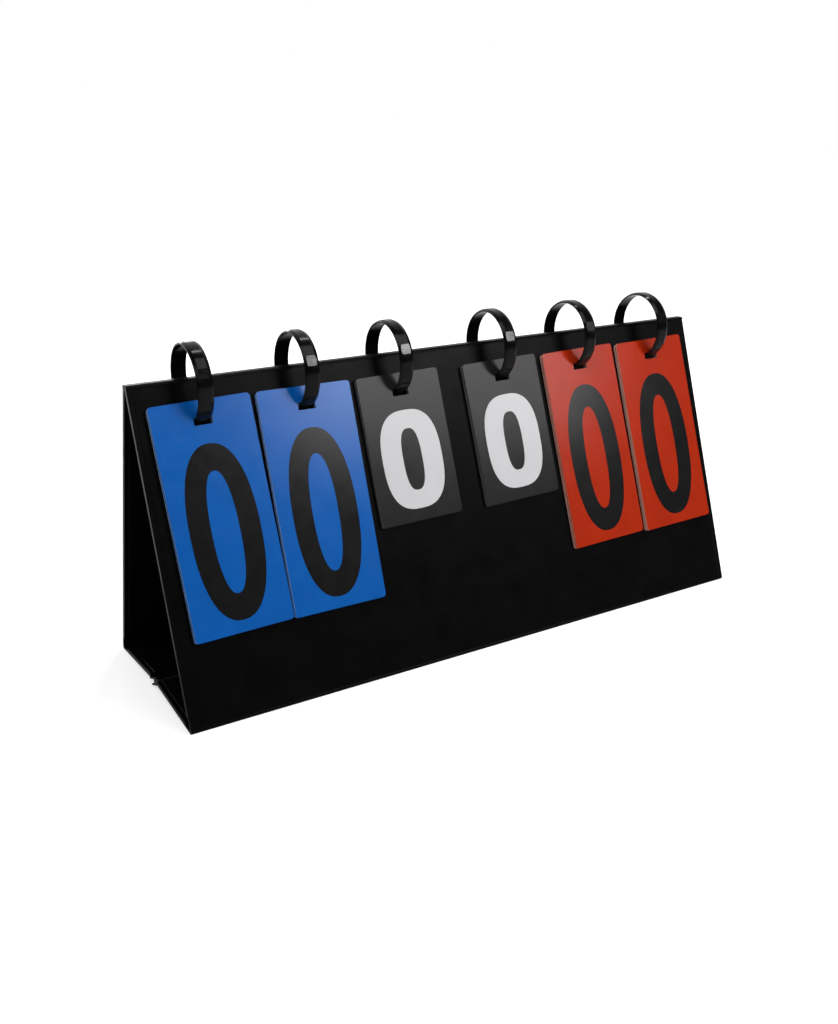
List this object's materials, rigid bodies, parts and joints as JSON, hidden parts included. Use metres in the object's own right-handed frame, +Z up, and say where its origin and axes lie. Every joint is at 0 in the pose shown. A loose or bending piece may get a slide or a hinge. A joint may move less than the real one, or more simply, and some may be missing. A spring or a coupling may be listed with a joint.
{
  "type": "tabletop flip scoreboard",
  "caption": "Black folding tent stand with rings along its ridge that carry stacks of blue, grey and red number cards, each flipped over to the back to show the next digit.",
  "frame": {"origin": "centre of the footprint on the table top, below the middle of the ridge", "axes": "+X along the ridge to the viewer's right, -Y towards the side with the cards, +Z up"},
  "size_m": [0.6, 0.185, 0.3004],
  "materials": {
    "vinyl": "black PVC leathercloth, fine grain, satin",
    "board": "grey-brown chipboard",
    "loop_tape": "soft black nylon loop",
    "hook_tape": "black nylon hook",
    "ring": "glossy black moulded plastic",
    "pin": "plain steel wire",
    "blue_card": "satin blue PVC sheet",
    "grey_card": "satin dark grey PVC sheet",
    "red_card": "satin red-orange PVC sheet",
    "dark_ink": "charcoal printing ink",
    "white_ink": "white printing ink"
  },
  "bodies": {
    "front_panel": {"front_cover": "vinyl", "front_board": "board", "front_fold": "vinyl", "blue_tens_nine_cards": "blue_card", "blue_units_nine_cards": "blue_card", "left_set_nine_cards": "grey_card", "right_set_nine_cards": "grey_card", "red_tens_nine_cards": "red_card", "red_units_nine_cards": "red_card"},
    "ridge": {"ridge_strip": "vinyl"},
    "back_panel": {"back_cover": "vinyl", "back_board": "board", "back_fold": "vinyl"},
    "front_flap": {"front_flap_cover": "vinyl", "front_flap_board": "board", "loop_strip": "loop_tape"},
    "back_flap": {"back_flap_cover": "vinyl", "back_flap_board": "board", "hook_strip": "hook_tape"},
    "blue_tens_ring": {"blue_tens_lower_ring": "ring", "blue_tens_ring_pin": "pin"},
    "blue_tens_ring_top": {"blue_tens_upper_ring": "ring"},
    "blue_tens_card": {"blue_tens_front_card": "blue_card", "blue_tens_zero": "dark_ink"},
    "blue_units_ring": {"blue_units_lower_ring": "ring", "blue_units_ring_pin": "pin"},
    "blue_units_ring_top": {"blue_units_upper_ring": "ring"},
    "blue_units_card": {"blue_units_front_card": "blue_card", "blue_units_zero": "dark_ink"},
    "left_set_ring": {"left_set_lower_ring": "ring", "left_set_ring_pin": "pin"},
    "left_set_ring_top": {"left_set_upper_ring": "ring"},
    "left_set_card": {"left_set_front_card": "grey_card", "left_set_zero": "white_ink"},
    "right_set_ring": {"right_set_lower_ring": "ring", "right_set_ring_pin": "pin"},
    "right_set_ring_top": {"right_set_upper_ring": "ring"},
    "right_set_card": {"right_set_front_card": "grey_card", "right_set_zero": "white_ink"},
    "red_tens_ring": {"red_tens_lower_ring": "ring", "red_tens_ring_pin": "pin"},
    "red_tens_ring_top": {"red_tens_upper_ring": "ring"},
    "red_tens_card": {"red_tens_front_card": "red_card", "red_tens_zero": "dark_ink"},
    "red_units_ring": {"red_units_lower_ring": "ring", "red_units_ring_pin": "pin"},
    "red_units_ring_top": {"red_units_upper_ring": "ring"},
    "red_units_card": {"red_units_front_card": "red_card", "red_units_zero": "dark_ink"}
  },
  "joints": [
    {"name": "ridge_front_fold", "type": "hinge", "parent": "front_panel", "child": "ridge", "pos_m": [0, -0.0025, 0.2677], "axis": [-1, 0, 0], "range_deg": [0, 12]},
    {"name": "ridge_back_fold", "type": "hinge", "parent": "ridge", "child": "back_panel", "pos_m": [0, 0.0025, 0.2677], "axis": [-1, 0, 0], "range_deg": [0, 12]},
    {"name": "front_flap_fold", "type": "hinge", "parent": "front_panel", "child": "front_flap", "pos_m": [0, -0.0905, 0.002], "axis": [-1, 0, 0], "range_deg": [0, 110]},
    {"name": "back_flap_fold", "type": "hinge", "parent": "back_panel", "child": "back_flap", "pos_m": [0, 0.0905, 0.002], "axis": [-1, 0, 0], "range_deg": [0, 44]},
    {"name": "blue_tens_flip", "type": "hinge", "parent": "front_panel", "child": "blue_tens_ring", "pos_m": [-0.24411, 0, 0.2662], "axis": [-1, 0, 0], "range_deg": [0, 297.33]},
    {"name": "blue_tens_card_swing", "type": "hinge", "parent": "blue_tens_ring", "child": "blue_tens_card", "pos_m": [-0.24411, -0.01886, 0.23912], "axis": [-1, 0, 0], "range_deg": [0, 26.02]},
    {"name": "blue_tens_ring_open", "type": "hinge", "parent": "blue_tens_ring", "child": "blue_tens_ring_top", "pos_m": [-0.24411, 0.03195, 0.25794], "axis": [-1, 0, 0], "range_deg": [0, 60]},
    {"name": "blue_units_flip", "type": "hinge", "parent": "front_panel", "child": "blue_units_ring", "pos_m": [-0.15022, 0, 0.2662], "axis": [-1, 0, 0], "range_deg": [0, 297.33]},
    {"name": "blue_units_card_swing", "type": "hinge", "parent": "blue_units_ring", "child": "blue_units_card", "pos_m": [-0.15022, -0.01886, 0.23912], "axis": [-1, 0, 0], "range_deg": [0, 26.02]},
    {"name": "blue_units_ring_open", "type": "hinge", "parent": "blue_units_ring", "child": "blue_units_ring_top", "pos_m": [-0.15022, 0.03195, 0.25794], "axis": [-1, 0, 0], "range_deg": [0, 60]},
    {"name": "left_set_flip", "type": "hinge", "parent": "front_panel", "child": "left_set_ring", "pos_m": [-0.05632, 0, 0.2662], "axis": [-1, 0, 0], "range_deg": [0, 297.33]},
    {"name": "left_set_card_swing", "type": "hinge", "parent": "left_set_ring", "child": "left_set_card", "pos_m": [-0.05632, -0.01886, 0.23912], "axis": [-1, 0, 0], "range_deg": [0, 26.02]},
    {"name": "left_set_ring_open", "type": "hinge", "parent": "left_set_ring", "child": "left_set_ring_top", "pos_m": [-0.05632, 0.03195, 0.25794], "axis": [-1, 0, 0], "range_deg": [0, 60]},
    {"name": "right_set_flip", "type": "hinge", "parent": "front_panel", "child": "right_set_ring", "pos_m": [0.05632, 0, 0.2662], "axis": [-1, 0, 0], "range_deg": [0, 297.33]},
    {"name": "right_set_card_swing", "type": "hinge", "parent": "right_set_ring", "child": "right_set_card", "pos_m": [0.05632, -0.01886, 0.23912], "axis": [-1, 0, 0], "range_deg": [0, 26.02]},
    {"name": "right_set_ring_open", "type": "hinge", "parent": "right_set_ring", "child": "right_set_ring_top", "pos_m": [0.05632, 0.03195, 0.25794], "axis": [-1, 0, 0], "range_deg": [0, 60]},
    {"name": "red_tens_flip", "type": "hinge", "parent": "front_panel", "child": "red_tens_ring", "pos_m": [0.15022, 0, 0.2662], "axis": [-1, 0, 0], "range_deg": [0, 297.33]},
    {"name": "red_tens_card_swing", "type": "hinge", "parent": "red_tens_ring", "child": "red_tens_card", "pos_m": [0.15022, -0.01886, 0.23912], "axis": [-1, 0, 0], "range_deg": [0, 26.02]},
    {"name": "red_tens_ring_open", "type": "hinge", "parent": "red_tens_ring", "child": "red_tens_ring_top", "pos_m": [0.15022, 0.03195, 0.25794], "axis": [-1, 0, 0], "range_deg": [0, 60]},
    {"name": "red_units_flip", "type": "hinge", "parent": "front_panel", "child": "red_units_ring", "pos_m": [0.24411, 0, 0.2662], "axis": [-1, 0, 0], "range_deg": [0, 297.33]},
    {"name": "red_units_card_swing", "type": "hinge", "parent": "red_units_ring", "child": "red_units_card", "pos_m": [0.24411, -0.01886, 0.23912], "axis": [-1, 0, 0], "range_deg": [0, 26.02]},
    {"name": "red_units_ring_open", "type": "hinge", "parent": "red_units_ring", "child": "red_units_ring_top", "pos_m": [0.24411, 0.03195, 0.25794], "axis": [-1, 0, 0], "range_deg": [0, 60]}
  ],
  "couplings": [
    {"joint": "ridge_back_fold", "follows": "ridge_front_fold", "ratio": 1},
    {"joint": "front_flap_fold", "follows": "ridge_front_fold", "ratio": 9.1667},
    {"joint": "back_flap_fold", "follows": "ridge_front_fold", "ratio": 3.6667},
    {"joint": "blue_tens_card_swing", "follows": "blue_tens_flip", "ratio": 0.087512},
    {"joint": "blue_units_card_swing", "follows": "blue_units_flip", "ratio": 0.087512},
    {"joint": "left_set_card_swing", "follows": "left_set_flip", "ratio": 0.087512},
    {"joint": "right_set_card_swing", "follows": "right_set_flip", "ratio": 0.087512},
    {"joint": "red_tens_card_swing", "follows": "red_tens_flip", "ratio": 0.087512},
    {"joint": "red_units_card_swing", "follows": "red_units_flip", "ratio": 0.087512}
  ]
}
